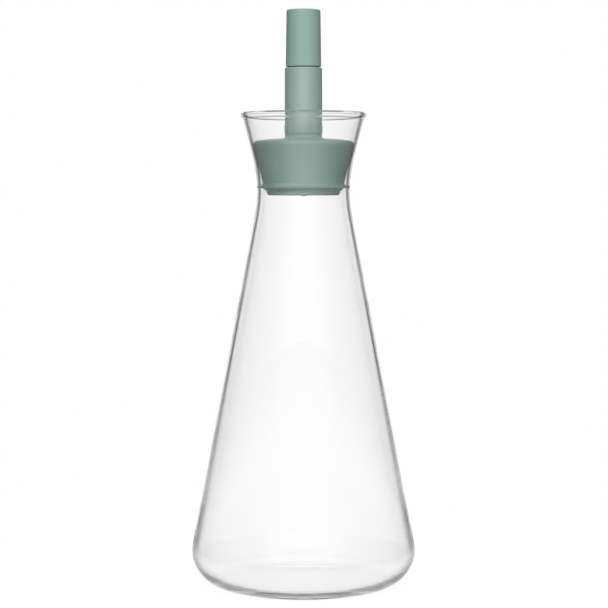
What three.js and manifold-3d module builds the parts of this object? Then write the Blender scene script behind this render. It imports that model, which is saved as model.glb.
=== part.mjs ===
// Oil dispenser bottle: a blown glass flask with a flared mouth, closed by a soft pouring stopper
// whose spout wears a pull-off cap. Millimetres, +Z up, origin at the centre of the standing ring.
import * as THREE from "three";
import { mergeVertices } from "three/addons/utils/BufferGeometryUtils.js";
import Module from "manifold-3d";

// Driving dimensions of the flask
const bodyDiameter = 80.9;
const flaskHeight = 170.9;
const heelRadius = 12.8;
const neckDiameter = 33.5;
const neckHeight = 142.5;
const waistRadius = 45.5;
const funnelAngle = 13.9;
const wall = 1.4;
const rimSwell = 0.2;
const floorThickness = 2.2;
const innerHeelRadius = 10.5;
const standingRingWidth = 4;
const puntDepth = 0.9;

// Driving dimensions of the soft plug
const plugSink = 9.4;
const plugLength = 18.75;
const plugRelief = 0.5;
const crownRise = 0.8;
const bossDiameter = 12.2;
const bossHeight = 1.4;
const bossFillet = 1;
const plugEdgeRadius = 1.3;
const lipHeight = 2.65;
const lipSlope = 0.9;
const lipEdge = 0.55;
const seatGap = 0.25;

// Driving dimensions of the foot that clamps the plug from below
const footInset = 0.6;
const footThickness = 1.55;
const footEdgeRadius = 0.6;
const hubDiameter = 20;
const hubHeight = 3;

// Driving dimensions of the pouring tube and its air tube
const tubeBore = 7.7;
const tubeWall = 1.05;
const flangeWidth = 0.8;
const flangeThickness = 1.2;
const snapBead = 0.55;
const snapBeadHeight = 0.6;
const nozzleTipChamfer = 0.5;
const ringGrooveDepth = 0.5;
const ringGrooveHeight = 1.1;
const ringGrooveRise = 3;
const airTubeDiameter = 1.7;
const airTubeWall = 0.3;
const airTubeTail = 0.4;
const airTubeSetback = 2;
const airClipWall = 0.5;
const airClipLength = 5;
const airClipInset = 6;
const airTubeOffset = 0.25;

// Driving dimensions of the sleeve around the tube
const sleeveDiameter = 13.5;
const sleeveTaper = 0.06;
const sleeveLength = 23.8;
const sleeveFootRadius = 0.35;
const sleeveEdgeRadius = 0.6;

// Driving dimensions of the cap and its sealing disc
const capStep = 0.33;
const capTaper = 0.27;
const capLength = 20.5;
const capWall = 0.85;
const capTopWall = 1.5;
const capCrown = 0.25;
const capEdgeRadius = 0.6;
const capMouthChamfer = 0.2;
const linerThickness = 1.2;

// Clearances: parts pressed together, the cap over the sleeve, the nozzle under the cap's disc
const fitGap = 0.15;
const faceGap = 0.1;
const capGap = 0.3;
const nozzleGap = 0.3;

// Facets round a piece, steps along a quarter turn of the waist, of another wide curve or of an edge,
// and steps up the plug's side
const wideFacets = 48;
const slimFacets = 36;
const fineFacets = 16;
const waistSteps = 24;
const curveSteps = 6;
const edgeSteps = 3;
const plugSideSteps = 8;

const wasm = await Module();
wasm.setup();

const radians = (degrees) => (degrees * Math.PI) / 180;
const at = (r, z) => new THREE.Vector2(r, z);

// Points along an arc of the profile plane, both ends included
function arc(centre, radius, from, to, quarterSteps = edgeSteps) {
  const steps = Math.max(edgeSteps, Math.ceil((Math.abs(to - from) / (Math.PI / 2)) * quarterSteps));
  return Array.from({ length: steps + 1 }, (unused, i) => {
    const angle = from + ((to - from) * i) / steps;
    return at(centre.x + radius * Math.cos(angle), centre.y + radius * Math.sin(angle));
  });
}

// A shallow dome from its middle, or from a bore there, out to a rim, given by its rise over that rim
function dome(rimRadius, rimHeight, rise, boreRadius = 0) {
  return Array.from({ length: edgeSteps + 1 }, (unused, i) => {
    const r = boreRadius + ((rimRadius - boreRadius) * i) / edgeSteps;
    return at(r, rimHeight + rise * (1 - ((r - boreRadius) / (rimRadius - boreRadius)) ** 2));
  });
}

// A solid turned about Z from an outline of radius and height, closed unless both ends lie on the axis
function turned(outline, facets) {
  const onAxis = outline[0].x === 0 && outline.at(-1).x === 0;
  const loop = onAxis ? [...outline] : [...outline, outline[0].clone()];
  if (THREE.ShapeUtils.area(loop) < 0) loop.reverse();
  return new THREE.LatheGeometry(loop, facets).rotateX(Math.PI / 2);
}

// Conversion between drawn geometry and solids that can be joined and cut
function solidFrom(geometry) {
  const bare = geometry.clone();
  bare.deleteAttribute("normal");
  bare.deleteAttribute("uv");
  const merged = mergeVertices(bare);
  const vertProperties = merged.attributes.position.array;
  const triVerts = new Uint32Array(merged.index.array);
  return new wasm.Manifold(new wasm.Mesh({ numProp: 3, vertProperties, triVerts }));
}

function geometryFrom(solid) {
  const mesh = solid.getMesh();
  const geometry = new THREE.BufferGeometry();
  geometry.setAttribute("position", new THREE.BufferAttribute(mesh.vertProperties, mesh.numProp));
  geometry.setIndex(new THREE.BufferAttribute(mesh.triVerts, 1));
  geometry.computeVertexNormals();
  return geometry;
}

function upright(radius, bottom, top, y) {
  const height = top - bottom;
  const bar = new THREE.CylinderGeometry(radius, radius, height, fineFacets).rotateX(Math.PI / 2);
  return solidFrom(bar.translate(0, y, bottom + height / 2));
}

function named(name, geometry, finish) {
  const mesh = new THREE.Mesh(geometry, new THREE.MeshStandardMaterial(finish));
  mesh.name = name;
  return mesh;
}

// Finishes
const clearGlass = { color: 0xf2f6f5, roughness: 0.02, metalness: 0, transparent: true, opacity: 0.3 };
const softMint = { color: 0x8fa9a0, roughness: 0.6, metalness: 0 };
const hardMint = { color: 0x9cb5ac, roughness: 0.45, metalness: 0 };
const paleSilicone = { color: 0xd9dedb, roughness: 0.55, metalness: 0 };
const polishedSteel = { color: 0xc4c6c6, roughness: 0.25, metalness: 1 };

// The flask's side is one line of tangents: heel arc, straight cone, waist arc, straight funnel
const heelCentre = at(bodyDiameter / 2 - heelRadius, heelRadius);
const waistCentre = at(neckDiameter / 2 + waistRadius, neckHeight);
const span = waistCentre.clone().sub(heelCentre);
const coneSlope = span.angle() - Math.acos((heelRadius + waistRadius) / span.length());
const funnelSlope = radians(funnelAngle);
const coneNormal = at(Math.cos(coneSlope), Math.sin(coneSlope));
const coneReach = coneNormal.dot(heelCentre) + heelRadius - wall;

// Radius of the glass inside the waist and funnel, where the stopper sits
function insideRadius(z) {
  const rise = z - neckHeight;
  const innerWaist = waistRadius + wall;
  if (rise > innerWaist * Math.sin(funnelSlope)) {
    const start = waistCentre.x - innerWaist * Math.cos(funnelSlope);
    return start + (rise - innerWaist * Math.sin(funnelSlope)) * Math.tan(funnelSlope);
  }
  if (rise > -innerWaist * Math.sin(coneSlope)) {
    return waistCentre.x - Math.sqrt(innerWaist ** 2 - rise ** 2);
  }
  return (coneReach - coneNormal.y * z) / coneNormal.x;
}

function flaskGeometry() {
  const along = at(Math.sin(funnelSlope), Math.cos(funnelSlope));
  const outward = at(Math.cos(funnelSlope), -Math.sin(funnelSlope));
  const rimRadius = wall / 2 + rimSwell;
  const rimTurn = Math.asin(wall / 2 / rimRadius);
  const rimHeight = flaskHeight - rimRadius;
  const funnelFoot = at(
    waistCentre.x - (waistRadius + wall / 2) * Math.cos(funnelSlope),
    neckHeight + (waistRadius + wall / 2) * Math.sin(funnelSlope),
  );
  const funnelRun = (rimHeight - funnelFoot.y) / along.y;
  const rimCentre = funnelFoot.clone().addScaledVector(along, funnelRun);
  const rimStart = outward.angle() - Math.PI / 2 + rimTurn - 2 * Math.PI;
  const rimEnd = rimStart + 2 * Math.PI - 2 * rimTurn;
  const innerHeelHeight = floorThickness + innerHeelRadius;
  const innerHeelCentre = at(
    (coneReach - innerHeelRadius - coneNormal.y * innerHeelHeight) / coneNormal.x,
    innerHeelHeight,
  );
  const outside = [
    ...dome(heelCentre.x - standingRingWidth, 0, puntDepth),
    ...arc(heelCentre, heelRadius, -Math.PI / 2, coneSlope, curveSteps),
    ...arc(waistCentre, waistRadius, Math.PI + coneSlope, Math.PI - funnelSlope, waistSteps),
  ];
  const inside = [
    ...arc(waistCentre, waistRadius + wall, Math.PI - funnelSlope, Math.PI + coneSlope, waistSteps),
    ...arc(innerHeelCentre, innerHeelRadius, coneSlope, -Math.PI / 2, curveSteps),
    ...dome(innerHeelCentre.x, floorThickness, puntDepth).reverse().slice(1),
  ];
  return turned([...outside, ...arc(rimCentre, rimRadius, rimStart, rimEnd), ...inside], wideFacets);
}

// Heights in the stopper's own frame, measured from the top of the plug's crown, where its boss stands
const stopperSeat = flaskHeight - plugSink;
const plugBottom = -plugLength;
const plugEdge = -crownRise;
const lipTop = plugBottom + lipHeight;
const lipTipTop = lipTop - lipSlope;
const lipTipBottom = lipTipTop - lipEdge;
const footTop = plugBottom - faceGap;
const footBottom = footTop - footThickness;
const sleeveBottom = bossHeight + faceGap;
const sleeveTop = sleeveBottom + sleeveLength;
const tubeRadius = tubeBore / 2 + tubeWall;
const tubeBottom = footBottom + faceGap;
const tubeSocket = tubeRadius + fitGap;
const flangeRadius = tubeRadius + flangeWidth;

// The plug's side is moulded to the funnel, and leaves the glass in a straight cone at the waist
const plugSlope = radians(funnelAngle - plugRelief);
const plugLeaves = neckHeight + (waistRadius + wall) * Math.sin(plugSlope) - stopperSeat;
const seatRadius = (z) => insideRadius(stopperSeat + z) - seatGap;
const plugSide = (z) => seatRadius(Math.max(z, plugLeaves)) - Math.max(0, plugLeaves - z) * Math.tan(plugSlope);
const lipRadius = seatRadius(lipTipBottom);
const lipUndercut = lipTipBottom - plugBottom;
const plugFootRadius = lipRadius - lipUndercut;
const footRadius = plugFootRadius - footInset;
const hubTop = footTop + hubHeight;

function plugGeometry() {
  const cornerRadius = plugSide(plugEdge);
  const edgeCentre = at(
    cornerRadius - (plugEdgeRadius * (1 + Math.sin(funnelSlope))) / Math.cos(funnelSlope),
    plugEdge - plugEdgeRadius,
  );
  const edge = arc(edgeCentre, plugEdgeRadius, -funnelSlope, Math.PI / 2);
  const bossFoot = at(bossDiameter / 2 + bossFillet, bossFillet);
  const side = Array.from({ length: plugSideSteps }, (unused, i) => {
    const z = lipTop + ((edge[0].y - lipTop) * i) / plugSideSteps;
    return at(plugSide(z), z);
  });
  return turned(
    [
      at(hubDiameter / 2 + fitGap, plugBottom),
      ...arc(at(lipRadius, plugBottom), lipUndercut, Math.PI, Math.PI / 2),
      at(lipRadius, lipTipTop),
      ...side,
      ...edge,
      ...dome(edgeCentre.x, plugEdge, crownRise, bossFoot.x).reverse().slice(1),
      ...arc(bossFoot, bossFillet, -Math.PI / 2, -Math.PI).slice(1),
      at(bossDiameter / 2, bossHeight),
      at(tubeSocket, bossHeight),
      at(tubeSocket, hubTop + faceGap),
      at(hubDiameter / 2 + fitGap, hubTop + faceGap),
    ],
    wideFacets,
  );
}

function footGeometry() {
  const snapSeat = footBottom + snapBeadHeight + 3 * faceGap;
  const snapRadius = tubeRadius + snapBead + fitGap;
  const edgeCentre = at(footRadius - footEdgeRadius, footBottom + footEdgeRadius);
  return turned(
    [
      at(snapRadius, footBottom),
      ...arc(edgeCentre, footEdgeRadius, -Math.PI / 2, 0),
      at(footRadius, footTop),
      at(hubDiameter / 2, footTop),
      at(hubDiameter / 2, hubTop),
      at(tubeSocket, hubTop),
      at(tubeSocket, snapSeat),
      at(snapRadius, snapSeat),
    ],
    wideFacets,
  );
}

// Heights of the cap's parts over the sleeve, and of the nozzle that the cap covers
const capTop = capGap + capLength;
const capCeiling = capTop - capTopWall;
const linerTop = capCeiling - faceGap;
const linerBottom = linerTop - linerThickness;
const nozzleTip = sleeveTop + linerBottom - nozzleGap;
const capMouthRadius = sleeveDiameter / 2 - sleeveTaper - capStep;
const capInside = (rise) => capMouthRadius - capWall - (capTaper * (rise - capGap)) / capLength;
const ringGrooveMiddle = sleeveTop + ringGrooveRise;
const airTubeAxis = tubeBore / 2 - airTubeOffset - airTubeDiameter / 2;
const airTubeBottom = footBottom - airTubeTail;
const airTubeTop = nozzleTip - airTubeSetback;

function tubeGeometry() {
  const grooveRadius = tubeRadius - ringGrooveDepth;
  const shell = turned(
    [
      at(tubeBore / 2, tubeBottom),
      at(tubeRadius, tubeBottom),
      at(tubeRadius + snapBead, tubeBottom + snapBeadHeight / 2),
      at(tubeRadius + snapBead, tubeBottom + snapBeadHeight),
      at(tubeRadius, tubeBottom + snapBeadHeight),
      at(tubeRadius, sleeveTop - flangeThickness),
      at(flangeRadius, sleeveTop - flangeThickness),
      at(flangeRadius, sleeveTop),
      at(tubeRadius, sleeveTop),
      at(tubeRadius, ringGrooveMiddle - ringGrooveHeight / 2),
      at(grooveRadius, ringGrooveMiddle - ringGrooveHeight / 2),
      at(grooveRadius, ringGrooveMiddle + ringGrooveHeight / 2),
      at(tubeRadius, ringGrooveMiddle + ringGrooveHeight / 2),
      at(tubeRadius, nozzleTip - nozzleTipChamfer),
      at(tubeRadius - nozzleTipChamfer, nozzleTip),
      at(tubeBore / 2, nozzleTip),
    ],
    slimFacets,
  );
  const clipHole = airTubeDiameter / 2 + fitGap;
  const clipStarts = [tubeBottom + airClipInset, airTubeTop - airClipInset - airClipLength];
  return geometryFrom(
    clipStarts.reduce((tube, start) => {
      const end = start + airClipLength;
      const clip = upright(clipHole + airClipWall, start, end, airTubeAxis);
      const hole = upright(clipHole, start - faceGap, end + faceGap, airTubeAxis);
      return tube.add(clip).subtract(hole);
    }, solidFrom(shell)),
  );
}

function airTubeGeometry() {
  const outer = airTubeDiameter / 2;
  const inner = outer - airTubeWall;
  const outline = [
    at(inner, airTubeBottom),
    at(outer, airTubeBottom),
    at(outer, airTubeTop),
    at(inner, airTubeTop),
  ];
  return turned(outline, fineFacets);
}

function sleeveGeometry() {
  const radius = sleeveDiameter / 2;
  const topRadius = radius - sleeveTaper;
  const edgeCentre = at(topRadius - sleeveEdgeRadius, sleeveTop - sleeveEdgeRadius);
  const footCentre = at(radius - sleeveFootRadius, sleeveBottom + sleeveFootRadius);
  const flangeSeat = sleeveTop - flangeThickness - faceGap;
  return turned(
    [
      at(tubeSocket, sleeveBottom),
      ...arc(footCentre, sleeveFootRadius, -Math.PI / 2, 0),
      ...arc(edgeCentre, sleeveEdgeRadius, 0, Math.PI / 2),
      at(flangeRadius + fitGap, sleeveTop),
      at(flangeRadius + fitGap, flangeSeat),
      at(tubeSocket, flangeSeat),
    ],
    slimFacets,
  );
}

function ringGeometry() {
  const inner = tubeRadius - ringGrooveDepth + faceGap;
  const outer = capInside(ringGrooveRise) - faceGap;
  const section = (outer - inner) / 2;
  const outline = arc(at(inner + section, ringGrooveMiddle), section, 0, 2 * Math.PI).slice(1);
  return turned(outline, slimFacets);
}

function capGeometry() {
  const topRadius = capMouthRadius - capTaper;
  const edgeCentre = at(topRadius - capEdgeRadius, capTop - capCrown - capEdgeRadius);
  return turned(
    [
      at(0, capCeiling),
      at(capInside(capCeiling), capCeiling),
      at(capInside(capGap), capGap),
      at(capMouthRadius - capMouthChamfer, capGap),
      at(capMouthRadius, capGap + capMouthChamfer),
      ...arc(edgeCentre, capEdgeRadius, 0, Math.PI / 2),
      ...dome(edgeCentre.x, capTop - capCrown, capCrown).reverse().slice(1),
    ],
    slimFacets,
  );
}

function linerGeometry() {
  const radius = capInside(linerTop) - faceGap;
  const outline = [at(0, linerBottom), at(radius, linerBottom), at(radius, linerTop), at(0, linerTop)];
  return turned(outline, slimFacets);
}

// Assembly: the cap rides on the stopper, and the stopper in the flask's mouth
const cap = new THREE.Group();
cap.position.z = sleeveTop;
cap.add(named("spout_cap", capGeometry(), hardMint), named("cap_liner", linerGeometry(), paleSilicone));

const airTube = named("air_tube", airTubeGeometry(), polishedSteel);
airTube.position.y = airTubeAxis;

const stopper = new THREE.Group();
stopper.position.z = stopperSeat;
stopper.add(
  named("stopper_plug", plugGeometry(), softMint),
  named("clamp_foot", footGeometry(), hardMint),
  named("pour_tube", tubeGeometry(), hardMint),
  named("spout_sleeve", sleeveGeometry(), hardMint),
  named("nozzle_ring", ringGeometry(), paleSilicone),
  airTube,
  cap,
);

const bottle = new THREE.Group();
bottle.add(named("glass_flask", flaskGeometry(), clearGlass), stopper);

export default bottle;
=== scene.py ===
"""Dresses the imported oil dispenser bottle: blown glass flask, soft mint stopper, satin spout and cap."""

import math

import bmesh
import bpy
from bpy.props import FloatProperty, FloatVectorProperty, IntProperty, PointerProperty
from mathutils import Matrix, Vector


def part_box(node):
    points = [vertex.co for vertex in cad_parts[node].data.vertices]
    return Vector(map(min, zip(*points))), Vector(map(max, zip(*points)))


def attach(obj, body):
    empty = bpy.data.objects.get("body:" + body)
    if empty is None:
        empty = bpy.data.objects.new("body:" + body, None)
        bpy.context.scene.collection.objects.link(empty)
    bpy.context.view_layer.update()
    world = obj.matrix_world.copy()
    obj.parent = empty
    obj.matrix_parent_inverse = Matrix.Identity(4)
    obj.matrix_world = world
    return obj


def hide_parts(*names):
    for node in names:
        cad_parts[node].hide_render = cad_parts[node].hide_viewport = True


bl_info = {
    "name": "Oil Dispenser Bottle",
    "version": (1, 0, 0),
    "blender": (4, 5, 0),
    "location": "View3D > Sidebar > Bottle",
    "description": "Builds the finished surfaces of a stoppered glass oil bottle around its packed model",
    "category": "Object",
}

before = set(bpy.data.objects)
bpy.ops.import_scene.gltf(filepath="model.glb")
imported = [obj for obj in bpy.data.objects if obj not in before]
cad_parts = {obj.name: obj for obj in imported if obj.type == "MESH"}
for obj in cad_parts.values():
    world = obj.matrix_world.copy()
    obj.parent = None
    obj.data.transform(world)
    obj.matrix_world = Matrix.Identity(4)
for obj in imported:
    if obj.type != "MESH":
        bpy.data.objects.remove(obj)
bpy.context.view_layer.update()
MM = 0.001


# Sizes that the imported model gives


def radius_of(node):
    low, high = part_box(node)
    return (high.x - low.x) / 2


def bottom_of(node):
    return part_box(node)[0].z


def top_of(node):
    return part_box(node)[1].z


# Settings


def length(name, description, default):
    return FloatProperty(name=name, description=description, default=default, precision=5, unit="LENGTH")


def colour(name, description, default):
    return FloatVectorProperty(
        name=name, description=description, default=default, size=4, min=0, max=1, subtype="COLOR"
    )


def share(name, description, default):
    return FloatProperty(
        name=name, description=description, default=default, min=0, max=1, subtype="FACTOR"
    )


def level(name, description, default):
    return FloatProperty(name=name, description=description, default=default, min=0, precision=3)


def angle(name, description, degrees):
    return FloatProperty(name=name, description=description, default=math.radians(degrees), subtype="ANGLE")


class FlaskSettings(bpy.types.PropertyGroup):
    """Shape and finish of the blown glass flask"""

    heel_radius: length("Heel radius", "Rounding where the side turns under the flask", 12.8 * MM)
    neck_radius: length("Neck radius", "Outside radius at the narrowest point of the waist", 16.75 * MM)
    neck_height: length("Neck height", "Height of the narrowest point of the waist", 142.5 * MM)
    waist_radius: length("Waist curve", "Radius of the curve between cone and funnel", 45.5 * MM)
    funnel_angle: angle("Funnel angle", "Lean of the flared mouth from the upright", 13.9)
    wall: length("Wall", "Thickness of the blown side", 1.4 * MM)
    rim_swell: length("Rim swell", "How far the fire-polished rim swells past the wall", 0.54 * MM)
    rim_lean: length("Rim lean", "How far the rim's bead stands outwards of the wall's middle", 0.1 * MM)
    floor_thickness: length("Floor", "Thickness of the flask's floor", 2.2 * MM)
    inner_heel_radius: length("Inner heel radius", "Rounding between floor and side inside", 10.5 * MM)
    ring_width: length("Standing ring", "Width of the flat ring that the flask stands on", 4 * MM)
    punt_depth: length("Punt", "Rise of the floor's middle over the standing ring", 0.55 * MM)
    facets: IntProperty(name="Facets", description="Faces round the flask", default=256, min=32)


class StopperSettings(bpy.types.PropertyGroup):
    """Shape and finish of the soft plug and its foot"""

    film: length("Air film", "Gap that is left between plug and glass", 0.05 * MM)
    lip_press: length("Lip press", "How far the squeezed lip presses into the glass", 0.05 * MM)
    relief: angle("Relief", "How much steeper the plug's lower side is than the funnel", 0.5)
    crown_rise: length("Crown", "Rise of the plug's top towards the spout", 0.8 * MM)
    boss_radius: length("Boss radius", "Radius of the plug's boss under the sleeve", 6.5 * MM)
    boss_height: length("Boss height", "Height of the plug's boss over its crown", 1.4 * MM)
    boss_fillet: length("Boss fillet", "Hollow rounding between crown and boss", 1.2 * MM)
    edge_radius: length("Edge radius", "Rounding of the plug's upper edge", 1.3 * MM)
    lip_height: length("Lip height", "Height of the sealing lip over the plug's foot", 2.65 * MM)
    lip_slope: length("Lip slope", "Height of the lip's sloping upper side", 0.85 * MM)
    lip_edge: length("Lip edge", "Height of the lip's sealing edge", 0.85 * MM)
    overhang: length("Overhang", "How far the plug's bottom stands out over the foot", 0.5 * MM)
    hub_radius: length("Hub radius", "Radius of the foot's hub inside the plug", 10 * MM)
    foot_thickness: length("Foot thickness", "Height of the foot's visible edge", 1.55 * MM)
    foot_taper: length("Foot taper", "How much slimmer the foot is at its bottom", 0.4 * MM)
    foot_edge: length("Foot edge", "Rounding of the foot's lower edge", 0.9 * MM)
    recess_radius: length("Recess radius", "Radius of the recess for the tube's bead in the foot", 5.6 * MM)
    recess_height: length("Recess height", "Height of the recess for the tube's bead in the foot", 0.9 * MM)
    silicone: colour("Silicone", "Main colour of the plug", (0.368, 0.54, 0.48, 1))
    silicone_shade: colour("Silicone shade", "Deeper tone in the plug's mottling", (0.353, 0.525, 0.465, 1))
    # Painted shade: the boss colour darkens the hollow fillet and boss under the sleeve's foot, where shade
    # falls
    boss: colour("Boss", "Deeper tone of the boss, thin silicone over the tube", (0.285, 0.4, 0.363, 1))
    foot: colour("Foot", "Main colour of the clamping foot", (0.4, 0.525, 0.475, 1))
    foot_shade: colour("Foot shade", "Deeper tone in the foot's mottling", (0.39, 0.513, 0.464, 1))
    facets: IntProperty(name="Facets", description="Faces round the plug", default=192, min=32)


class SpoutSettings(bpy.types.PropertyGroup):
    """Shape and finish of the spout, its cap and its seals"""

    bore_radius: length("Bore radius", "Radius of the pouring bore", 3.85 * MM)
    tube_radius: length("Tube radius", "Outside radius of the pouring tube", 4.9 * MM)
    flange_thickness: length("Flange", "Thickness of the flange in the sleeve's top", 1.2 * MM)
    bead_rise: length("Bead rise", "How far the snap bead stands out at the tube's lower end", 0.55 * MM)
    bead_height: length("Bead height", "Height of the snap bead", 0.6 * MM)
    clip_wall: length("Clip wall", "Thickness of the clips that hold the air tube", 0.5 * MM)
    clip_height: length("Clip height", "Height of each clip", 5 * MM)
    clip_inset: length("Clip inset", "Distance of the clips from the air tube's ends", 6.3 * MM)
    groove_depth: length("Groove depth", "Depth of the ring's groove in the nozzle", 0.5 * MM)
    groove_height: length("Groove height", "Height of the ring's groove in the nozzle", 1.1 * MM)
    sleeve_taper: length("Sleeve taper", "How much slimmer the sleeve is at its top", 0.06 * MM)
    sleeve_edge: length("Sleeve edge", "Rounding of the sleeve's upper edge", 0.6 * MM)
    sleeve_foot: length("Sleeve foot", "Rounding of the sleeve's lower edge", 0.35 * MM)
    cap_taper: length("Cap taper", "How much slimmer the cap is at its top", 0.27 * MM)
    cap_wall: length("Cap wall", "Thickness of the cap's side", 0.85 * MM)
    cap_top_wall: length("Cap top", "Thickness of the cap's end", 1.5 * MM)
    cap_edge: length("Cap edge", "Rounding of the cap's upper edge", 0.6 * MM)
    cap_crown: length("Cap crown", "Rise of the cap's end to its middle", 0.25 * MM)
    cap_mouth_edge: length("Cap mouth edge", "Rounding of the cap's lower edges", 0.2 * MM)
    liner_edge: length("Liner edge", "Rounding of the liner's edges", 0.25 * MM)
    air_tube_wall: length("Air tube wall", "Thickness of the air tube's wall", 0.3 * MM)
    plastic: colour("Plastic", "Main colour of sleeve and tube", (0.28, 0.391, 0.348, 1))
    plastic_shade: colour("Plastic shade", "Deeper tone in the plastic's mottling", (0.268, 0.379, 0.336, 1))
    cap: colour("Cap", "Main colour of the cap", (0.262, 0.402, 0.352, 1))
    cap_shade: colour("Cap shade", "Deeper tone in the cap's mottling", (0.253, 0.391, 0.342, 1))
    seal: colour("Seal", "Main colour of ring and liner", (0.62, 0.66, 0.64, 1))
    seal_shade: colour("Seal shade", "Deeper tone in the mottling of ring and liner", (0.6, 0.64, 0.62, 1))
    steel: colour("Steel", "Colour of the air tube", (0.56, 0.57, 0.57, 1))
    facets: IntProperty(name="Facets", description="Faces round the spout", default=128, min=32)


class StageSettings(bpy.types.PropertyGroup):
    """Camera, floor and studio light"""

    camera_side: length("Camera side", "Camera's distance to the right of the bottle's axis", 0.18 * MM)
    camera_distance: length("Camera distance", "Camera's distance in front of the bottle's axis", 709.4 * MM)
    camera_height: length("Camera height", "Camera's height over the floor", 146 * MM)
    aim_height: length("Aim height", "Height on the axis that the camera looks at", 101.9 * MM)
    lens: FloatProperty(
        name="Lens", description="Focal length", default=116.57, unit="CAMERA", precision=2
    )
    floor: colour("Floor", "Colour of the pale floor", (0.5, 0.5, 0.5, 1))
    floor_radius: length("Floor radius", "Radius of the round floor", 0.15)
    # Painted shadow: how dark the floor under the flask is painted where the glass shows it
    floor_painted_shadow: share("Floor under", "How bright the floor under the flask looks through it", 0.86)
    floor_mirrored: share("Mirrored floor", "How bright the floor is that the glass mirrors", 0.95)
    floor_rim: share("Mirrored floor's rim", "How bright the mirrored floor is at its rim", 0.35)
    floor_in_wall: share("Floor in the wall", "How bright the floor is that the glass wall leads up", 0.55)
    ceiling: share("Ceiling", "How bright the ceiling is that the glass shows", 0.5)
    bounces: IntProperty(name="Bounces", description="Turns that light may take in the glass", default=22)
    floor_drop: length("Floor drop", "Gap that keeps the floor off the glass", 0.05 * MM)
    floor_glow: level("Floor glow", "Level that makes the lit floor white to the camera", 1.184)
    floor_shadow: share("Floor shadow", "Share of the floor's look that its shadows have", 0.2)
    key: level("Key light", "Level of the soft light over the camera", 5.2)
    key_height: angle("Key height", "Rise of the key light", 20)
    key_focus: level("Key focus", "How narrow the key light is", 8)
    back: level("Back light", "Level of the soft light behind the bottle", 3)
    back_focus: level("Back focus", "How narrow the back light is", 8)
    surround: level("Surround", "Level of the light that comes from all sides", 0.02)
    overhead: level("Overhead", "Level of the light from above", 0.3)


class BottleSettings(bpy.types.PropertyGroup):
    """All settings of the oil bottle"""

    flask: PointerProperty(type=FlaskSettings)
    stopper: PointerProperty(type=StopperSettings)
    spout: PointerProperty(type=SpoutSettings)
    stage: PointerProperty(type=StageSettings)


# Outlines, as lists of radius and height


ARC_STEP = math.radians(4)
WAIST_STEP = ARC_STEP / 4
RIM_STEP = ARC_STEP * 2
EDGE_STEP = math.radians(15)
# Half of a corner's angle from which it counts as straight
NEARLY_STRAIGHT = math.radians(89)


def arc(centre, radius, start, end, step=ARC_STEP):
    """Points on an arc of the outline plane, both ends included"""
    steps = max(2, math.ceil(abs(end - start) / step))
    angles = [start + (end - start) * i / steps for i in range(steps + 1)]
    return [(centre[0] + radius * math.cos(a), centre[1] + radius * math.sin(a)) for a in angles]


def straight(start, end, steps):
    """Evenly spaced points between two points, without the two themselves"""
    shares = [i / steps for i in range(1, steps)]
    return [(start[0] + (end[0] - start[0]) * t, start[1] + (end[1] - start[1]) * t) for t in shares]


def dome(rim_radius, rim_height, rise, bore_radius=0.0, steps=12, ease=1):
    """A shallow dome from its middle, or a bore there, out to its rim, where an ease of 2 makes it level"""
    radii = [bore_radius + (rim_radius - bore_radius) * i / steps for i in range(steps + 1)]
    reach = rim_radius - bore_radius
    return [(r, rim_height + rise * (1 - ((r - bore_radius) / reach) ** 2) ** ease) for r in radii]


def rounded(corners):
    """A closed outline whose corners, given as radius, height and fillet, are rounded off"""
    outline = []
    for i, (r, z, fillet) in enumerate(corners):
        before = corners[i - 1]
        after = corners[(i + 1) % len(corners)]
        back = (before[0] - r, before[1] - z)
        ahead = (after[0] - r, after[1] - z)
        back_length = math.hypot(*back)
        ahead_length = math.hypot(*ahead)
        back = (back[0] / back_length, back[1] / back_length)
        ahead = (ahead[0] / ahead_length, ahead[1] / ahead_length)
        half = math.acos(max(-1, min(1, back[0] * ahead[0] + back[1] * ahead[1]))) / 2
        if fillet == 0 or half > NEARLY_STRAIGHT:
            outline.append((r, z))
            continue
        cut = fillet / math.tan(half)
        middle = (back[0] + ahead[0], back[1] + ahead[1])
        reach = fillet / math.sin(half) / math.hypot(*middle)
        centre = (r + middle[0] * reach, z + middle[1] * reach)
        start = math.atan2(z + back[1] * cut - centre[1], r + back[0] * cut - centre[0])
        end = math.atan2(z + ahead[1] * cut - centre[1], r + ahead[0] * cut - centre[0])
        turn = (end - start + math.pi) % (2 * math.pi) - math.pi
        outline += arc(centre, fillet, start, start + turn, EDGE_STEP)
    return outline + outline[:1]


def ring_outline(inner, outer, low, high, fillet):
    """A plain ring whose four corners are rounded alike"""
    corners = [(inner, low), (outer, low), (outer, high), (inner, high)]
    return rounded([(r, z, fillet) for r, z in corners])


# The flask's side, a line of tangents: heel arc, straight cone, waist arc, straight funnel


class FlaskSide:
    """Places on the flask's side that its own outline and the plug's both need"""

    def __init__(self, flask):
        body_radius = radius_of("glass_flask")
        self.wall = flask.wall
        self.funnel = flask.funnel_angle
        self.waist_radius = flask.waist_radius
        self.heel = (body_radius - flask.heel_radius, flask.heel_radius)
        self.waist = (flask.neck_radius + flask.waist_radius, flask.neck_height)
        across = self.waist[0] - self.heel[0]
        up = self.waist[1] - self.heel[1]
        touch = (flask.heel_radius + flask.waist_radius) / math.hypot(across, up)
        self.cone = math.atan2(up, across) - math.acos(touch)
        outer_reach = self.heel[0] * math.cos(self.cone) + self.heel[1] * math.sin(self.cone)
        self.inner_reach = outer_reach + flask.heel_radius - flask.wall

    def inside(self, height):
        """Radius of the glass inside the waist and funnel"""
        curve = self.waist_radius + self.wall
        rise = height - self.waist[1]
        funnel_start = curve * math.sin(self.funnel)
        if rise > funnel_start:
            funnel_foot = self.waist[0] - curve * math.cos(self.funnel)
            return funnel_foot + (rise - funnel_start) * math.tan(self.funnel)
        if rise > -curve * math.sin(self.cone):
            return self.waist[0] - math.sqrt(curve**2 - rise**2)
        return (self.inner_reach - height * math.sin(self.cone)) / math.cos(self.cone)


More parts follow.
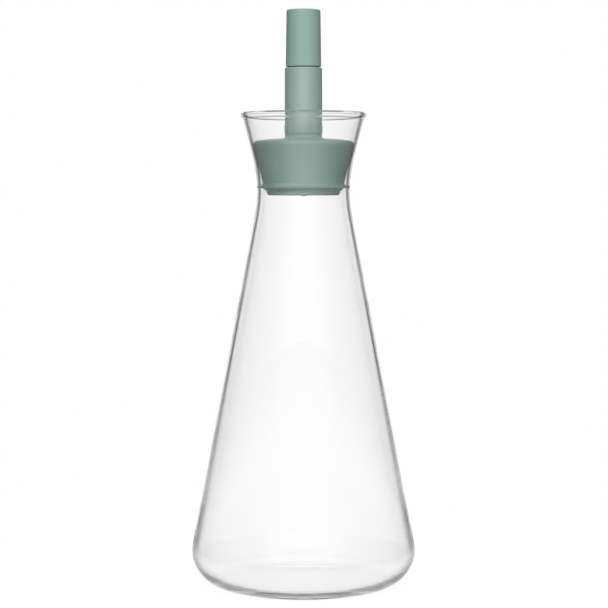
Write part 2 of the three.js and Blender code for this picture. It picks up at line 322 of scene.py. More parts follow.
def flask_outline(flask):
    side = FlaskSide(flask)
    rim_radius = flask.wall / 2 + flask.rim_swell
    outer_turn = math.asin((flask.wall / 2 - flask.rim_lean) / rim_radius)
    inner_turn = math.asin((flask.wall / 2 + flask.rim_lean) / rim_radius)
    middle_curve = flask.waist_radius + flask.wall / 2
    rim_height = top_of("glass_flask") - rim_radius
    funnel_foot = side.waist[1] + middle_curve * math.sin(side.funnel)
    funnel_radius = side.waist[0] - middle_curve * math.cos(side.funnel)
    rim_reach = funnel_radius + (rim_height - funnel_foot) * math.tan(side.funnel)
    rim = (rim_reach + flask.rim_lean / math.cos(side.funnel), rim_height)
    rim_start = outer_turn - side.funnel - math.pi / 2
    rim_end = 1.5 * math.pi - inner_turn - side.funnel
    inner_heel_height = flask.floor_thickness + flask.inner_heel_radius
    inner_heel_reach = side.inner_reach - flask.inner_heel_radius - inner_heel_height * math.sin(side.cone)
    inner_heel = (inner_heel_reach / math.cos(side.cone), inner_heel_height)
    heel = arc(side.heel, flask.heel_radius, -math.pi / 2, side.cone)
    waist_arc = (math.pi + side.cone, math.pi - side.funnel, WAIST_STEP)
    waist = arc(side.waist, flask.waist_radius, *waist_arc)
    inner_waist = arc(side.waist, flask.waist_radius + flask.wall, *waist_arc)[::-1]
    rim_arc = arc(rim, rim_radius, rim_start, rim_end, RIM_STEP)
    inner_heel_arc = arc(inner_heel, flask.inner_heel_radius, side.cone, -math.pi / 2)
    punt_steps = 36
    cone_steps = 24
    funnel_steps = 6
    punt = dome(side.heel[0] - flask.ring_width, 0, flask.punt_depth, steps=punt_steps, ease=2)
    return [
        *punt,
        *heel,
        *straight(heel[-1], waist[0], cone_steps),
        *waist,
        *straight(waist[-1], rim_arc[0], funnel_steps),
        *rim_arc,
        *straight(rim_arc[-1], inner_waist[0], funnel_steps),
        *inner_waist,
        *straight(inner_waist[-1], inner_heel_arc[0], cone_steps),
        *inner_heel_arc,
        *[(r, z + flask.floor_thickness) for r, z in punt[::-1]],
    ]


def crown_height(stopper):
    """Height at which the plug's boss stands on its crown"""
    return top_of("stopper_plug") - stopper.boss_height


def plug_outline(flask, stopper, spout):
    side = FlaskSide(flask)
    bottom = bottom_of("stopper_plug")
    boss_top = bottom_of("spout_sleeve")
    crown = crown_height(stopper)
    shoulder = crown - stopper.crown_rise
    lip_top = bottom + stopper.lip_height
    tip_top = lip_top - stopper.lip_slope
    tip_bottom = tip_top - stopper.lip_edge
    slope = side.funnel - stopper.relief
    # Height under which the plug's side leaves the glass in a straight slope
    leaves = side.waist[1] + (side.waist_radius + side.wall) * math.sin(slope)
    bore = spout.tube_radius

    def funnel_seat(height):
        return side.inside(height) - stopper.film

    def plug_side(height):
        return funnel_seat(max(height, leaves)) - max(0, leaves - height) * math.tan(slope)

    lip_radius = side.inside(tip_bottom) + stopper.lip_press
    hollow_width = lip_radius - radius_of("clamp_foot") - stopper.overhang
    quarter = arc((0, 0), 1, math.pi, math.pi / 2, EDGE_STEP)
    undercut = [(lip_radius + hollow_width * x, bottom + (tip_bottom - bottom) * z) for x, z in quarter]
    boss_foot = stopper.boss_radius + stopper.boss_fillet
    fillet_middle = (boss_foot, crown + stopper.boss_fillet)
    fillet = arc(fillet_middle, stopper.boss_fillet, -math.pi / 2, -math.pi, EDGE_STEP)
    edge_reach = stopper.edge_radius * (1 + math.sin(side.funnel)) / math.cos(side.funnel)
    edge_middle = (plug_side(shoulder) - edge_reach, shoulder - stopper.edge_radius)
    edge_arc = arc(edge_middle, stopper.edge_radius, -side.funnel, math.pi / 2)
    side_steps = 40
    heights = [lip_top + (edge_arc[0][1] - lip_top) * i / side_steps for i in range(side_steps)]
    hub_top = top_of("clamp_foot")
    return [
        (stopper.hub_radius, bottom),
        *undercut,
        (lip_radius, tip_top),
        *[(plug_side(z), z) for z in heights],
        *edge_arc,
        *dome(edge_middle[0], shoulder, stopper.crown_rise, boss_foot)[-2:0:-1],
        *fillet,
        (stopper.boss_radius, boss_top),
        (bore, boss_top),
        (bore, hub_top),
        (stopper.hub_radius, hub_top),
        (stopper.hub_radius, bottom),
    ]


# Shorthand for nodes


def put(tree, value, socket):
    """Links the value to the socket where it comes from a node, and otherwise sets it there"""
    if isinstance(value, bpy.types.NodeSocket):
        tree.links.new(value, socket)
    else:
        socket.default_value = value


def node_maths(tree, operation, *values):
    """The result of a maths node on these values"""
    node = tree.nodes.new("ShaderNodeMath")
    node.operation = operation
    for socket, value in zip(node.inputs, values):
        put(tree, value, socket)
    return node.outputs[0]


def add_sockets(tree, inputs, outputs):
    """Gives a node group its inputs and outputs, from their names and kinds"""
    for in_out, sockets in (("INPUT", inputs), ("OUTPUT", outputs)):
        for name, kind in sockets.items():
            tree.interface.new_socket(name, in_out=in_out, socket_type="NodeSocket" + kind)


# Turned pieces


MERGE_DISTANCE = 0.0002 * MM
CREASE_ANGLE = math.radians(40)


def turned_tree():
    """Geometry nodes that turn an outline, drawn in the XZ plane, about Z into a closed piece"""
    tree = bpy.data.node_groups.new("Turned piece", "GeometryNodeTree")
    inputs = {"Outline": "Geometry", "Facets": "Int", "Crease": "Float", "Finish": "Material"}
    add_sockets(tree, inputs, {"Piece": "Geometry"})
    nodes = tree.nodes
    link = tree.links.new

    def calc(operation, *values):
        return node_maths(tree, operation, *values)

    given = nodes.new("NodeGroupInput")
    size = nodes.new("GeometryNodeAttributeDomainSize")
    link(given.outputs["Outline"], size.inputs["Geometry"])
    columns = calc("ADD", given.outputs["Facets"], 1)
    grid = nodes.new("GeometryNodeMeshGrid")
    link(size.outputs["Point Count"], grid.inputs["Vertices X"])
    link(columns, grid.inputs["Vertices Y"])
    index = nodes.new("GeometryNodeInputIndex").outputs["Index"]
    row = calc("FLOOR", calc("DIVIDE", index, columns))
    column = calc("MODULO", index, columns)
    turned_by = calc("MULTIPLY", calc("DIVIDE", column, given.outputs["Facets"]), 2 * math.pi)
    heading = calc("ADD", turned_by, math.pi / 2)
    sample = nodes.new("GeometryNodeSampleIndex")
    sample.data_type = "FLOAT_VECTOR"
    sample.domain = "POINT"
    link(given.outputs["Outline"], sample.inputs["Geometry"])
    link(nodes.new("GeometryNodeInputPosition").outputs["Position"], sample.inputs["Value"])
    link(row, sample.inputs["Index"])
    turn = nodes.new("ShaderNodeVectorRotate")
    turn.rotation_type = "Z_AXIS"
    link(sample.outputs["Value"], turn.inputs["Vector"])
    link(heading, turn.inputs["Angle"])
    place = nodes.new("GeometryNodeSetPosition")
    link(grid.outputs["Mesh"], place.inputs["Geometry"])
    link(turn.outputs["Vector"], place.inputs["Position"])
    merge = nodes.new("GeometryNodeMergeByDistance")
    merge.inputs["Distance"].default_value = MERGE_DISTANCE
    link(place.outputs["Geometry"], merge.inputs["Geometry"])
    bend = nodes.new("GeometryNodeInputMeshEdgeAngle").outputs["Unsigned Angle"]
    crease = nodes.new("GeometryNodeSetShadeSmooth")
    crease.domain = "EDGE"
    link(merge.outputs["Geometry"], crease.inputs["Geometry"])
    link(calc("GREATER_THAN", bend, given.outputs["Crease"]), crease.inputs["Selection"])
    crease.inputs["Shade Smooth"].default_value = False
    realize = nodes.new("GeometryNodeRealizeInstances")
    link(crease.outputs["Geometry"], realize.inputs["Geometry"])
    finish = nodes.new("GeometryNodeSetMaterial")
    link(realize.outputs["Geometry"], finish.inputs["Geometry"])
    link(given.outputs["Finish"], finish.inputs["Material"])
    link(finish.outputs["Geometry"], nodes.new("NodeGroupOutput").inputs["Piece"])
    return tree


def turned(name, outline, finish, facets, across=0.0):
    """A closed piece turned about an upright axis that stands this far behind the bottle's own"""
    tree = bpy.data.node_groups.get("Turned piece") or turned_tree()
    line = bpy.data.meshes.new(name + "_outline")
    edges = [(i, i + 1) for i in range(len(outline) - 1)]
    line.from_pydata([(r, 0, z) for r, z in outline], edges, [])
    blank = bpy.data.objects.new(name + "_blank", line)
    bpy.context.scene.collection.objects.link(blank)
    lathe = blank.modifiers.new("Lathe", "NODES")
    lathe.node_group = tree
    values = {"Facets": facets, "Crease": CREASE_ANGLE, "Finish": finish}
    for socket in tree.interface.items_tree:
        if socket.name in values:
            lathe[socket.identifier] = values[socket.name]
    depsgraph = bpy.context.evaluated_depsgraph_get()
    mesh = bpy.data.meshes.new_from_object(blank.evaluated_get(depsgraph), depsgraph=depsgraph)
    bpy.data.objects.remove(blank)
    bpy.data.meshes.remove(line)
    work = bmesh.new()
    work.from_mesh(mesh)
    bmesh.ops.translate(work, vec=(0, across, 0), verts=work.verts)
    bmesh.ops.recalc_face_normals(work, faces=work.faces)
    work.to_mesh(mesh)
    work.free()
    mesh.name = name
    piece = bpy.data.objects.new(name, mesh)
    bpy.context.scene.collection.objects.link(piece)
    return piece


def joined(piece, *others):
    """The piece with the others' meshes added to its own"""
    work = bmesh.new()
    for part in (piece, *others):
        work.from_mesh(part.data)
    work.to_mesh(piece.data)
    work.free()
    for part in others:
        bpy.data.objects.remove(part)
    return piece


def seat(piece, body, slot, *nodes):
    """The piece rides on its body and stands for its nodes"""
    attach(piece, body)
    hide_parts(*nodes)


# Finishes


WHITE = (1, 1, 1, 1)
MOTTLE_DETAIL = 3
GRAIN_DETAIL = 2


def new_material(name):
    material = bpy.data.materials.new(name)
    material.use_nodes = True
    return material, material.node_tree.nodes, material.node_tree.links


def moulded_grain():
    """Shader group: the soft mottling and fine grain of a moulded surface"""
    group = bpy.data.node_groups.get("Moulded grain")
    if group:
        return group
    group = bpy.data.node_groups.new("Moulded grain", "ShaderNodeTree")
    inputs = {
        "Colour": "Color",
        "Shade": "Color",
        "Mottle scale": "Float",
        "Grain scale": "Float",
        "Roughness": "Float",
        "Roughness spread": "Float",
    }
    add_sockets(group, inputs, {"Colour": "Color", "Roughness": "Float", "Height": "Float"})
    nodes = group.nodes
    link = group.links.new
    given = nodes.new("NodeGroupInput")
    made = nodes.new("NodeGroupOutput")
    where = nodes.new("ShaderNodeTexCoord").outputs["Object"]

    def noise(scale, detail):
        node = nodes.new("ShaderNodeTexNoise")
        node.inputs["Detail"].default_value = detail
        link(where, node.inputs["Vector"])
        link(scale, node.inputs["Scale"])
        return node.outputs["Fac"]

    mottle = noise(given.outputs["Mottle scale"], MOTTLE_DETAIL)
    grain = noise(given.outputs["Grain scale"], GRAIN_DETAIL)
    blend = nodes.new("ShaderNodeMix")
    blend.data_type = "RGBA"
    link(mottle, blend.inputs["Factor"])
    link(given.outputs["Shade"], blend.inputs["A"])
    link(given.outputs["Colour"], blend.inputs["B"])
    link(blend.outputs["Result"], made.inputs["Colour"])
    spread = given.outputs["Roughness spread"]
    roughness = node_maths(group, "MULTIPLY_ADD", mottle, spread, given.outputs["Roughness"])
    link(roughness, made.inputs["Roughness"])
    link(grain, made.inputs["Height"])
    return group


def moulded(name, colour_value, shade_value, grain):
    """A moulded plastic or silicone: grain gives its scales, roughness, relief and sheen"""
    material, nodes, links = new_material(name)
    shader = nodes["Principled BSDF"]
    surface = nodes.new("ShaderNodeGroup")
    surface.node_tree = moulded_grain()
    surface.inputs["Colour"].default_value = colour_value
    surface.inputs["Shade"].default_value = shade_value
    surface.inputs["Mottle scale"].default_value = grain["mottle_scale"]
    surface.inputs["Grain scale"].default_value = grain["grain_scale"]
    surface.inputs["Roughness"].default_value = grain["roughness"]
    surface.inputs["Roughness spread"].default_value = grain["roughness_spread"]
    relief = nodes.new("ShaderNodeBump")
    relief.inputs["Strength"].default_value = grain["relief"]
    relief.inputs["Distance"].default_value = grain["depth"]
    links.new(surface.outputs["Height"], relief.inputs["Height"])
    links.new(surface.outputs["Colour"], shader.inputs["Base Color"])
    links.new(surface.outputs["Roughness"], shader.inputs["Roughness"])
    links.new(relief.outputs["Normal"], shader.inputs["Normal"])
    shader.inputs["Specular IOR Level"].default_value = grain["specular"]
    shader.inputs["Sheen Weight"].default_value = grain["sheen"]
    return material


def paint_boss_shade(material, start, end, tone):
    """Paints shade into the material: takes its colour over to a deeper tone between two heights"""
    nodes = material.node_tree.nodes
    link = material.node_tree.links.new
    base = nodes["Principled BSDF"].inputs["Base Color"]
    where = nodes.new("ShaderNodeTexCoord")
    height = nodes.new("ShaderNodeSeparateXYZ")
    fade = nodes.new("ShaderNodeMapRange")
    fade.inputs["From Min"].default_value = start
    fade.inputs["From Max"].default_value = end
    blend = nodes.new("ShaderNodeMix")
    blend.data_type = "RGBA"
    blend.inputs["B"].default_value = tone
    link(where.outputs["Object"], height.inputs["Vector"])
    link(height.outputs["Z"], fade.inputs["Value"])
    link(fade.outputs["Result"], blend.inputs["Factor"])
    link(base.links[0].from_socket, blend.inputs["A"])
    link(blend.outputs["Result"], base)


SILICONE_GRAIN = {
    "mottle_scale": 260,
    "grain_scale": 5200,
    "roughness": 0.5,
    "roughness_spread": 0.12,
    "relief": 0.25,
    "depth": 0.02 * MM,
    "specular": 0.35,
    "sheen": 0.05,
}
CAP_GRAIN = {
    "mottle_scale": 320,
    "grain_scale": 7000,
    "roughness": 0.5,
    "roughness_spread": 0.1,
    "relief": 0.25,
    "depth": 0.02 * MM,
    "specular": 0.28,
    "sheen": 0.02,
}
PLASTIC_GRAIN = {
    "mottle_scale": 320,
    "grain_scale": 7000,
    "roughness": 0.36,
    "roughness_spread": 0.1,
    "relief": 0.2,
    "depth": 0.015 * MM,
    "specular": 0.7,
    "sheen": 0.02,
}


GLASS_BENDING = 1.47
GLASS_WAVES = {"along": 0.25, "scale": 60, "detail": 1}
GLASS_WAVE_RELIEF = 0.015
GLASS_WAVE_DEPTH = 0.1 * MM
STEEL_LINES = {"along": 0.02, "scale": 9000, "detail": 2}
STEEL_ROUGHNESS = (0.18, 0.38)


def stretched_noise(tree, along, scale, detail):
    """Noise that is drawn out along the piece's upright axis"""
    where = tree.nodes.new("ShaderNodeTexCoord")
    stretch = tree.nodes.new("ShaderNodeMapping")
    stretch.inputs["Scale"].default_value = (1, 1, along)
    noise = tree.nodes.new("ShaderNodeTexNoise")
    noise.inputs["Scale"].default_value = scale
    noise.inputs["Detail"].default_value = detail
    tree.links.new(where.outputs["Object"], stretch.inputs["Vector"])
    tree.links.new(stretch.outputs["Vector"], noise.inputs["Vector"])
    return noise.outputs["Fac"]


def clear_glass():
    """Clear blown glass with the faint long waves that blowing leaves"""
    material, nodes, links = new_material("Clear blown glass")
    shader = nodes["Principled BSDF"]
    shader.inputs["Base Color"].default_value = WHITE
    shader.inputs["Roughness"].default_value = 0
    shader.inputs["IOR"].default_value = GLASS_BENDING
    shader.inputs["Transmission Weight"].default_value = 1
    relief = nodes.new("ShaderNodeBump")
    relief.inputs["Strength"].default_value = GLASS_WAVE_RELIEF
    relief.inputs["Distance"].default_value = GLASS_WAVE_DEPTH
    links.new(stretched_noise(material.node_tree, **GLASS_WAVES), relief.inputs["Height"])
    links.new(relief.outputs["Normal"], shader.inputs["Normal"])
    return material


def drawn_steel(colour_value):
    """Stainless tube with fine drawing lines along it"""
    material, nodes, links = new_material("Drawn steel")
    shader = nodes["Principled BSDF"]
    shader.inputs["Metallic"].default_value = 1
    shader.inputs["Base Color"].default_value = colour_value
    rough = nodes.new("ShaderNodeMapRange")
    rough.inputs["To Min"].default_value = STEEL_ROUGHNESS[0]
    rough.inputs["To Max"].default_value = STEEL_ROUGHNESS[1]
    links.new(stretched_noise(material.node_tree, **STEEL_LINES), rough.inputs["Value"])
    links.new(rough.outputs["Result"], shader.inputs["Roughness"])
    return material


def satin_mint(spout):
    name = "Satin mint plastic"
    return bpy.data.materials.get(name) or moulded(name, spout.plastic, spout.plastic_shade, PLASTIC_GRAIN)


def pale_silicone(spout):
    name = "Pale silicone"
    return bpy.data.materials.get(name) or moulded(name, spout.seal, spout.seal_shade, SILICONE_GRAIN)


# Operators


MOULDED_EDGE = 0.15 * MM
PIPE_EDGE = 0.08 * MM


class BOTTLE_OT_flask(bpy.types.Operator):
    """Turn the blown glass flask"""

    bl_idname = "bottle.flask"
    bl_label = "Glass flask"

    def execute(self, context):
        flask = context.scene.oil_bottle.flask
        piece = turned("flask_glass", flask_outline(flask), clear_glass(), flask.facets)
        seat(piece, "flask", "clear_glass", "glass_flask")
        return {"FINISHED"}


class BOTTLE_OT_plug(bpy.types.Operator):
    """Turn the soft plug with its sealing lip"""

    bl_idname = "bottle.plug"
    bl_label = "Soft plug"

    def execute(self, context):
        settings = context.scene.oil_bottle
        stopper = settings.stopper
        soft = moulded("Soft mint silicone", stopper.silicone, stopper.silicone_shade, SILICONE_GRAIN)
        crown = crown_height(stopper)
        # Painted shade: the plug's colour darkens from its crown up into the boss, for the shaded fillet
        # under the sleeve
        paint_boss_shade(soft, crown, crown + stopper.boss_height / 2, stopper.boss)
        outline = plug_outline(settings.flask, stopper, settings.spout)
        piece = turned("plug_silicone", outline, soft, stopper.facets)
        seat(piece, "stopper", "soft_mint", "stopper_plug")
        return {"FINISHED"}


class BOTTLE_OT_foot(bpy.types.Operator):
    """Turn the foot that clamps the plug"""

    bl_idname = "bottle.foot"
    bl_label = "Clamping foot"

    def execute(self, context):
        settings = context.scene.oil_bottle
        stopper = settings.stopper
        bottom = bottom_of("clamp_foot")
        rim_top = bottom + stopper.foot_thickness
        radius = radius_of("clamp_foot")
        hub_top = top_of("clamp_foot")
        bore = settings.spout.tube_radius
        outline = rounded(
            [
                (bore, bottom + stopper.recess_height, 0),
                (stopper.recess_radius, bottom + stopper.recess_height, 0),
                (stopper.recess_radius, bottom, MOULDED_EDGE),
                (radius - stopper.foot_taper, bottom, stopper.foot_edge),
                (radius, rim_top, MOULDED_EDGE),
                (stopper.hub_radius, rim_top, 0),
                (stopper.hub_radius, hub_top, 4 * MOULDED_EDGE),
                (bore, hub_top, 0),
            ]
        )
        hard = moulded("Foot plastic", stopper.foot, stopper.foot_shade, CAP_GRAIN)
        piece = turned("foot_disc", outline, hard, stopper.facets)
        seat(piece, "stopper", "foot_mint", "clamp_foot")
        return {"FINISHED"}


class BOTTLE_OT_sleeve(bpy.types.Operator):
    """Turn the sleeve round the pouring tube"""

    bl_idname = "bottle.sleeve"
    bl_label = "Spout sleeve"

    def execute(self, context):
        spout = context.scene.oil_bottle.spout
        bottom = bottom_of("spout_sleeve")
        top = top_of("spout_sleeve")
        radius = radius_of("spout_sleeve")
        flange = radius_of("pour_tube")
        seat_height = top - spout.flange_thickness
        outline = rounded(
            [
                (spout.tube_radius, bottom, 0),
                (radius, bottom, spout.sleeve_foot),
                (radius - spout.sleeve_taper, top, spout.sleeve_edge),
                (flange, top, 0),
                (flange, seat_height, 0),
                (spout.tube_radius, seat_height, 0),
            ]
        )
        piece = turned("sleeve_shell", outline, satin_mint(spout), spout.facets)
        seat(piece, "stopper", "hard_mint", "spout_sleeve")
        return {"FINISHED"}


class BOTTLE_OT_tube(bpy.types.Operator):
    """Turn the pouring tube with its nozzle"""

    bl_idname = "bottle.tube"
    bl_label = "Pouring tube"

    def execute(self, context):
        spout = context.scene.oil_bottle.spout
        bottom = bottom_of("pour_tube")
        tip = top_of("pour_tube")
        flange = radius_of("pour_tube")
        flange_top = top_of("spout_sleeve")
        ring_low, ring_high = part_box("nozzle_ring")
        groove_bottom = (ring_low.z + ring_high.z - spout.groove_height) / 2
        groove_top = groove_bottom + spout.groove_height
        groove = spout.tube_radius - spout.groove_depth
        bead = spout.tube_radius + spout.bead_rise
        edge = MOULDED_EDGE
        fine_edge = edge / 2
        outline = rounded(
            [
                (spout.bore_radius, bottom, edge),
                (spout.tube_radius, bottom, 0),
                (bead, bottom + spout.bead_height / 2, fine_edge),
                (bead, bottom + spout.bead_height, fine_edge),
                (spout.tube_radius, bottom + spout.bead_height, 0),
                (spout.tube_radius, flange_top - spout.flange_thickness, 0),
                (flange, flange_top - spout.flange_thickness, 0),
                (flange, flange_top, edge),
                (spout.tube_radius, flange_top, edge),
                (spout.tube_radius, groove_bottom, fine_edge),
                (groove, groove_bottom, fine_edge),
                (groove, groove_top, fine_edge),
                (spout.tube_radius, groove_top, fine_edge),
                (spout.tube_radius, tip, 3 * edge),
                (spout.bore_radius, tip, 2 * edge),
            ]
        )
        mint = satin_mint(spout)
        low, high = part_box("air_tube")
        hole = (high.x - low.x) / 2
        clips = []
        for start in (low.z + spout.clip_inset, high.z - spout.clip_inset - spout.clip_height):
            end = start + spout.clip_height
            ring = ring_outline(hole, hole + spout.clip_wall, start, end, fine_edge)
            clips.append(turned("tube_clip", ring, mint, spout.facets // 2, across=(low.y + high.y) / 2))
        piece = joined(turned("tube_nozzle", outline, mint, spout.facets), *clips)
        seat(piece, "stopper", "hard_mint", "pour_tube")
        return {"FINISHED"}


class BOTTLE_OT_air_tube(bpy.types.Operator):
    """Turn the thin air tube in the bore"""

    bl_idname = "bottle.air_tube"
    bl_label = "Air tube"

    def execute(self, context):
        spout = context.scene.oil_bottle.spout
        low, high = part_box("air_tube")
        radius = (high.x - low.x) / 2
        outline = ring_outline(radius - spout.air_tube_wall, radius, low.z, high.z, PIPE_EDGE)
        steel = drawn_steel(spout.steel)
        piece = turned("air_pipe", outline, steel, spout.facets // 2, across=(low.y + high.y) / 2)
        seat(piece, "stopper", "polished_steel", "air_tube")
        return {"FINISHED"}


class BOTTLE_OT_seals(bpy.types.Operator):
    """Turn the nozzle's ring and the cap's liner"""

    bl_idname = "bottle.seals"
    bl_label = "Seals"

    def execute(self, context):
        spout = context.scene.oil_bottle.spout
        soft = pale_silicone(spout)
        low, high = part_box("nozzle_ring")
        section = (high.z - low.z) / 2
        middle = (high.x - section, low.z + section)
        circle = arc(middle, section, 0, 2 * math.pi, EDGE_STEP)
        ring = turned("ring_seal", circle, soft, spout.facets)
        seat(ring, "stopper", "pale_silicone", "nozzle_ring")
        low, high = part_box("cap_liner")
        edge = spout.liner_edge
        outline = [
            (0, low.z),
            *arc((high.x - edge, low.z + edge), edge, -math.pi / 2, 0, EDGE_STEP),
            *arc((high.x - edge, high.z - edge), edge, 0, math.pi / 2, EDGE_STEP),
            (0, high.z),
        ]
        disc = turned("liner_disc", outline, soft, spout.facets)
        seat(disc, "cap", "pale_silicone", "cap_liner")
        return {"FINISHED"}


class BOTTLE_OT_cap(bpy.types.Operator):
    """Turn the pull-off cap"""

    bl_idname = "bottle.cap"
    bl_label = "Spout cap"

    def execute(self, context):
        spout = context.scene.oil_bottle.spout
        bottom = bottom_of("spout_cap")
        top = top_of("spout_cap")
        mouth = radius_of("spout_cap")
        tip = mouth - spout.cap_taper
        ceiling = top - spout.cap_top_wall
        edge = spout.cap_mouth_edge
        edge_top = bottom + edge
        inner_mouth = mouth - spout.cap_wall
        shoulder = top - spout.cap_crown - spout.cap_edge
        outline = [
            (0, ceiling),
            (tip - spout.cap_wall, ceiling),
            (inner_mouth, edge_top),
            *arc((inner_mouth + edge, edge_top), edge, math.pi, 1.5 * math.pi, EDGE_STEP)[1:],
            *arc((mouth - edge, edge_top), edge, -math.pi / 2, 0, EDGE_STEP),
            *arc((tip - spout.cap_edge, shoulder), spout.cap_edge, 0, math.pi / 2, EDGE_STEP / 2),
            *dome(tip - spout.cap_edge, top - spout.cap_crown, spout.cap_crown)[-2::-1],
        ]
        matte = moulded("Matte mint plastic", spout.cap, spout.cap_shade, CAP_GRAIN)
        piece = turned("cap_shell", outline, matte, spout.facets)
        seat(piece, "cap", "hard_mint", "spout_cap")
        return {"FINISHED"}


# The studio as the glass shows it, by degrees off the line behind the bottle. Light that passes straight
# through meets white on all sides, under a dim ceiling. Light that stayed in the glass wall meets a white
# screen with dark gaps and strip lights beside it, and mirrored light a room that is dimmer at its sides.
SCREEN_BEHIND = ((0, 1), (15, 1), (22, 0.45), (27, 0.03), (31, 0.03))
SCREEN_ROUND = ((60, 0.2), (90, 0.3), (130, 0.45), (150, 0.75), (180, 0.9))
SCREEN = SCREEN_BEHIND + SCREEN_ROUND
STRIPS = ((31, 0), (40, 0.65), (50, 0.75), (60, 0))
ROOM = ((0, 1), (15, 0.95), (27, 0.35), (60, 0.25), (94, 0.27), (128, 0.47), (150, 0.85), (180, 1))
# Rises, as the sine of their angle, over which the strips and the dim ceiling fade in
STRIPS_BEGIN = (-0.2, 0.1)
CEILING_BEGINS = (0.2, 0.5)
# Share of the flask's radius within which the painted shadow on the floor under it is darkest
PAINTED_SHADOW_START = 0.6
FLOOR_FACETS = 96
NEAREST_SEEN = 10 * MM


class PathNodes:
    """Shorthand for the maths that a stage material does on the path of its light"""

    def __init__(self, tree):
        self.tree = tree
        path = tree.nodes.new("ShaderNodeLightPath").outputs
        self.camera = path["Is Camera Ray"]
        unscattered = self.calc("SUBTRACT", 1, self.calc("MINIMUM", path["Diffuse Depth"], 1))
        bent = self.calc("MAXIMUM", path["Is Transmission Ray"], path["Is Glossy Ray"])
        self.glass = self.calc("MULTIPLY", bent, unscattered)
        self.mirrored = self.calc("MINIMUM", path["Glossy Depth"], 1)
        # Mirrored light that went through the glass's surface just twice stayed in the wall between
        wall_passes = 2
        tolerance = 0.5
        self.in_wall = self.calc("COMPARE", path["Transmission Depth"], wall_passes, tolerance)

    def calc(self, operation, *values):
        return node_maths(self.tree, operation, *values)

    def choose(self, factor, otherwise, chosen):
        """Goes from otherwise to chosen as the factor goes from 0 to 1"""
        node = self.tree.nodes.new("ShaderNodeMix")
        for name, value in (("Factor", factor), ("A", otherwise), ("B", chosen)):
            put(self.tree, value, node.inputs[name])
        return node.outputs["Result"]

    def fade(self, value, start, end, low, high):
        """Goes smoothly from low to high as the value goes from start to end"""
        node = self.tree.nodes.new("ShaderNodeMapRange")
        node.interpolation_type = "SMOOTHSTEP"
        put(self.tree, value, node.inputs["Value"])
        node.inputs["From Min"].default_value = start
        node.inputs["From Max"].default_value = end
        node.inputs["To Min"].default_value = low
        node.inputs["To Max"].default_value = high
        return node.outputs["Result"]

    def shown(self, across, along, stops):
        """How bright the studio is at an angle, from stops of degrees and level"""
        ramp = self.tree.nodes.new("ShaderNodeValToRGB")
        marks = ramp.color_ramp.elements
        while len(marks) < len(stops):
            marks.new(0.5)
        for mark, (degrees, shade) in zip(marks, stops):
            mark.position = degrees / 180
            mark.color = (shade, shade, shade, 1)
        turn = self.calc("ARCTAN2", across, along)
        put(self.tree, self.calc("DIVIDE", turn, math.pi), ramp.inputs["Fac"])
        return ramp.outputs["Color"]


def studio_floor(stage):
    """Pale floor that looks white from the camera and keeps the bottle's shadow, with painted shadow under
    the flask where the glass shows it
    """
    material, nodes, links = new_material("Studio floor")
    nodes.remove(nodes["Principled BSDF"])
    path = PathNodes(material.node_tree)
    paint = nodes.new("ShaderNodeBsdfDiffuse")
    paint.inputs["Color"].default_value = stage.floor
    glow = nodes.new("ShaderNodeEmission")
    glow.inputs["Color"].default_value = WHITE
    where = nodes.new("ShaderNodeTexCoord").outputs["Object"]
    reach = nodes.new("ShaderNodeVectorMath")
    reach.operation = "LENGTH"
    links.new(where, reach.inputs[0])
    away = reach.outputs["Value"]
    radius = radius_of("glass_flask")
    # Painted shadow on the floor under the flask, for light that the glass shows
    under = path.fade(away, radius * PAINTED_SHADOW_START, radius, stage.floor_painted_shadow, 1)
    faded = path.fade(away, radius, stage.floor_radius, stage.floor_mirrored, stage.floor_rim)
    mirrored = path.choose(path.in_wall, faded, stage.floor_in_wall)
    shown = path.calc("MULTIPLY", path.choose(path.mirrored, 1, mirrored), under)
    brightness = path.choose(path.camera, shown, stage.floor_glow)
    links.new(brightness, glow.inputs["Strength"])
    mix = nodes.new("ShaderNodeMixShader")
    links.new(path.choose(path.camera, path.glass, 1 - stage.floor_shadow), mix.inputs[0])
    links.new(paint.outputs[0], mix.inputs[1])
    links.new(glow.outputs[0], mix.inputs[2])
    links.new(mix.outputs[0], nodes["Material Output"].inputs["Surface"])
    material.cycles.emission_sampling = "NONE"
    return material


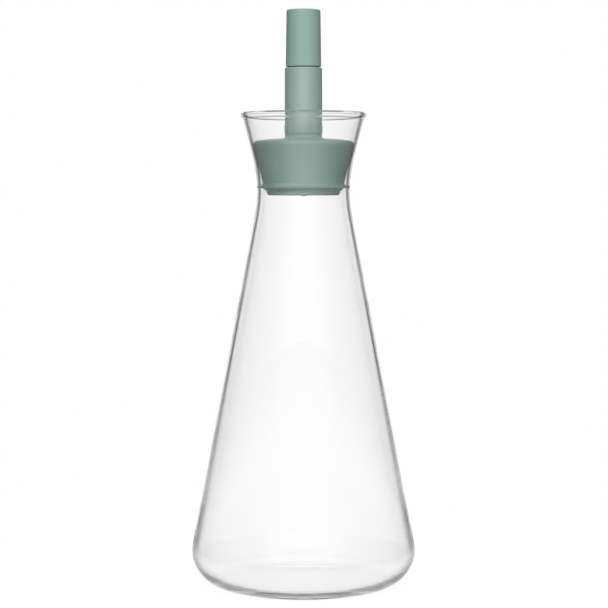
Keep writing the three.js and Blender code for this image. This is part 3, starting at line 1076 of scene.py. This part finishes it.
def studio_world(stage):
    """White where the camera looks, soft wide lights round the bottle, a plain room for the glass"""
    world = bpy.data.worlds.new("Studio")
    world.use_nodes = True
    bpy.context.scene.world = world
    nodes = world.node_tree.nodes
    link = world.node_tree.links.new
    nodes.clear()
    path = PathNodes(world.node_tree)
    view = nodes.new("ShaderNodeTexCoord").outputs["Generated"]

    def lobe(heading, focus, strength):
        aim = nodes.new("ShaderNodeVectorMath")
        aim.operation = "DOT_PRODUCT"
        link(view, aim.inputs[0])
        aim.inputs[1].default_value = heading
        ahead = path.calc("MAXIMUM", aim.outputs["Value"], 0)
        return path.calc("MULTIPLY", path.calc("POWER", ahead, focus), strength)

    rise = stage.key_height
    key = lobe((0, -math.cos(rise), math.sin(rise)), stage.key_focus, stage.key)
    back = lobe((0, math.cos(rise), math.sin(rise)), stage.back_focus, stage.back)
    overhead = lobe((0, 0, 1), 1, stage.overhead)
    lamps = path.calc("ADD", path.calc("ADD", key, back), path.calc("ADD", overhead, stage.surround))
    parts = nodes.new("ShaderNodeSeparateXYZ")
    link(view, parts.inputs[0])
    across = path.calc("ABSOLUTE", parts.outputs["X"])
    along = parts.outputs["Y"]
    up = parts.outputs["Z"]
    strips = path.calc("MULTIPLY", path.shown(across, along, STRIPS), path.fade(up, *STRIPS_BEGIN, 0, 1))
    wall = path.calc("MAXIMUM", path.shown(across, along, SCREEN), strips)
    room = path.choose(path.in_wall, path.shown(across, along, ROOM), wall)
    plain = path.fade(up, *CEILING_BEGINS, 1, stage.ceiling)
    studio = path.choose(path.mirrored, plain, room)
    seen = path.choose(path.glass, lamps, studio)
    sky = nodes.new("ShaderNodeBackground")
    sky.inputs["Color"].default_value = WHITE
    link(path.choose(path.camera, seen, 1), sky.inputs["Strength"])
    link(sky.outputs[0], nodes.new("ShaderNodeOutputWorld").inputs["Surface"])


class BOTTLE_OT_stage(bpy.types.Operator):
    """Set up the floor, the studio light and the camera"""

    bl_idname = "bottle.stage"
    bl_label = "Stage"

    def execute(self, context):
        stage = context.scene.oil_bottle.stage
        mesh = bpy.data.meshes.new("studio_floor")
        disc = bmesh.new()
        bmesh.ops.create_circle(disc, cap_ends=True, segments=FLOOR_FACETS, radius=stage.floor_radius)
        bmesh.ops.translate(disc, vec=(0, 0, -stage.floor_drop), verts=disc.verts)
        disc.to_mesh(mesh)
        disc.free()
        mesh.materials.append(studio_floor(stage))
        floor = bpy.data.objects.new("studio_floor", mesh)
        context.scene.collection.objects.link(floor)
        studio_world(stage)
        lens = bpy.data.cameras.new("Camera")
        lens.lens = stage.lens
        lens.sensor_fit = "HORIZONTAL"
        lens.clip_start = NEAREST_SEEN
        camera = bpy.data.objects.new("Camera", lens)
        context.scene.collection.objects.link(camera)
        camera.location = (stage.camera_side, -stage.camera_distance, stage.camera_height)
        fall = math.atan2(stage.camera_height - stage.aim_height, stage.camera_distance)
        camera.rotation_euler = (math.pi / 2 - fall, 0, 0)
        context.scene.camera = camera
        context.scene.view_settings.view_transform = "Standard"
        context.scene.cycles.max_bounces = stage.bounces
        context.scene.cycles.glossy_bounces = stage.bounces
        context.scene.cycles.transmission_bounces = stage.bounces
        return {"FINISHED"}


class BOTTLE_PT_panel(bpy.types.Panel):
    """Settings and builders of the oil bottle"""

    bl_idname = "BOTTLE_PT_panel"
    bl_label = "Oil Dispenser Bottle"
    bl_space_type = "VIEW_3D"
    bl_region_type = "UI"
    bl_category = "Bottle"

    def draw(self, context):
        settings = context.scene.oil_bottle
        for part in ("flask", "stopper", "spout", "stage"):
            group = getattr(settings, part)
            box = self.layout.box()
            box.label(text=part.title())
            for name in group.__annotations__:
                box.prop(group, name)
        for operator in OPERATORS:
            self.layout.operator(operator.bl_idname)


SETTINGS = (FlaskSettings, StopperSettings, SpoutSettings, StageSettings, BottleSettings)
OPERATORS = (
    BOTTLE_OT_stage,
    BOTTLE_OT_flask,
    BOTTLE_OT_plug,
    BOTTLE_OT_foot,
    BOTTLE_OT_sleeve,
    BOTTLE_OT_tube,
    BOTTLE_OT_air_tube,
    BOTTLE_OT_seals,
    BOTTLE_OT_cap,
)


def register():
    for kind in (*SETTINGS, *OPERATORS, BOTTLE_PT_panel):
        bpy.utils.register_class(kind)
    bpy.types.Scene.oil_bottle = PointerProperty(type=BottleSettings)


def unregister():
    del bpy.types.Scene.oil_bottle
    for kind in reversed((*SETTINGS, *OPERATORS, BOTTLE_PT_panel)):
        bpy.utils.unregister_class(kind)


def main():
    register()
    bpy.ops.bottle.stage()
    bpy.ops.bottle.flask()
    bpy.ops.bottle.plug()
    bpy.ops.bottle.foot()
    bpy.ops.bottle.sleeve()
    bpy.ops.bottle.tube()
    bpy.ops.bottle.air_tube()
    bpy.ops.bottle.seals()
    bpy.ops.bottle.cap()


if __name__ == "__main__":
    main()
